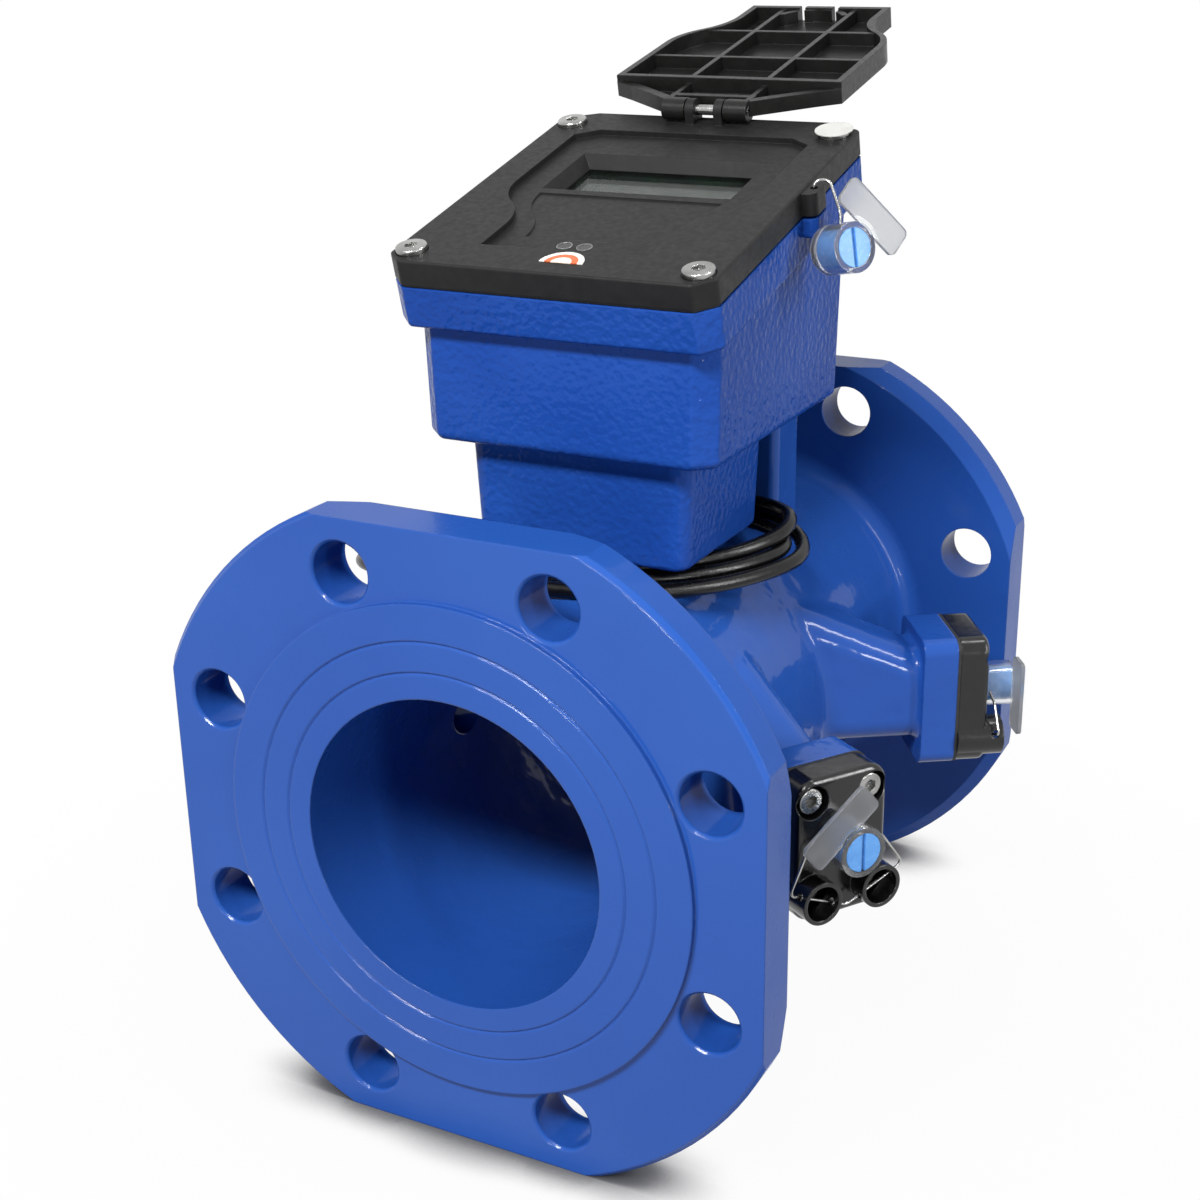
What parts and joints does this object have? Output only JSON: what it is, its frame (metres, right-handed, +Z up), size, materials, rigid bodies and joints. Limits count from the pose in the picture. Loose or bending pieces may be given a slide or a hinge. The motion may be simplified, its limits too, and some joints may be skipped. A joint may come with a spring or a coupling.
{
  "type": "ultrasonic water meter",
  "caption": "Flanged ultrasonic water meter: cast body with angled transducer arms, sloping display housing with an open flip lid, wire seals and a coiled signal cable.",
  "frame": {"origin": "centre of the flow bore, midway between the two flange faces", "axes": "+Y along the pipe from the near flange to the far one, +Z up towards the display, +X to the right of the display"},
  "size_m": [0.2356, 0.2859, 0.3242],
  "materials": {
    "body_paint": "gloss paint",
    "housing_paint": "hammer-tone paint",
    "cover_plastic": "fine moulded grain",
    "cap_plastic": "gloss",
    "gland_plastic": "satin",
    "stainless": "satin",
    "sensor_steel": "turned",
    "rubber": "matte",
    "lens_glass": "clear",
    "lcd_glass": "gloss",
    "board_green": "satin",
    "battery_wrap": "satin",
    "ir_plastic": "gloss",
    "sticker_white": "matte",
    "sticker_orange": "matte",
    "seal_clear": "clear",
    "seal_blue": "gloss",
    "cable_jacket": "satin"
  },
  "bodies": {
    "meter": {"battery_cell": "battery_wrap", "battery_cradle": "cover_plastic", "board_screws": "stainless", "cable_coil": "cable_jacket", "cable_gland": "gland_plastic", "cable_lead": "cable_jacket", "circuit_board": "board_green", "cover_gasket": "rubber", "cover_screws": "stainless", "display_housing": "housing_paint", "front_cover": "cover_plastic", "gland_nut": "gland_plastic", "hinge_pin": "stainless", "housing_bolts": "stainless", "ir_windows": "ir_plastic", "lcd_module": "lcd_glass", "meter_body": "body_paint", "pedestal_gasket": "rubber", "ring_sticker": "sticker_orange", "seal_body_back_right": "seal_clear", "seal_body_cover": "seal_clear", "seal_body_front_right": "seal_clear", "seal_rotor_back_right": "seal_blue", "seal_rotor_cover": "seal_blue", "seal_rotor_front_right": "seal_blue", "seal_wire_back_right": "stainless", "seal_wire_cover": "stainless", "seal_wire_front_right": "stainless", "transducer_back_left": "sensor_steel", "transducer_back_right": "sensor_steel", "transducer_cover_back_left": "cap_plastic", "transducer_cover_back_right": "cap_plastic", "transducer_cover_front_left": "cap_plastic", "transducer_cover_front_right": "cap_plastic", "transducer_front_left": "sensor_steel", "transducer_front_right": "sensor_steel", "transducer_gasket_back_left": "rubber", "transducer_gasket_back_right": "rubber", "transducer_gasket_front_left": "rubber", "transducer_gasket_front_right": "rubber", "transducer_ring_back_left": "rubber", "transducer_ring_back_right": "rubber", "transducer_ring_front_left": "rubber", "transducer_ring_front_right": "rubber", "transducer_screws_back_left": "stainless", "transducer_screws_back_right": "stainless", "transducer_screws_front_left": "stainless", "transducer_screws_front_right": "stainless", "white_sticker": "sticker_white", "window_lens": "lens_glass"},
    "lid": {"flip_lid": "cover_plastic"}
  },
  "joints": [
    {"name": "lid_hinge", "type": "hinge", "parent": "meter", "child": "lid", "pos_m": [0, 0.05585, 0.1965], "axis": [1, 0, 0], "range_deg": [0, 182.2]}
  ]
}
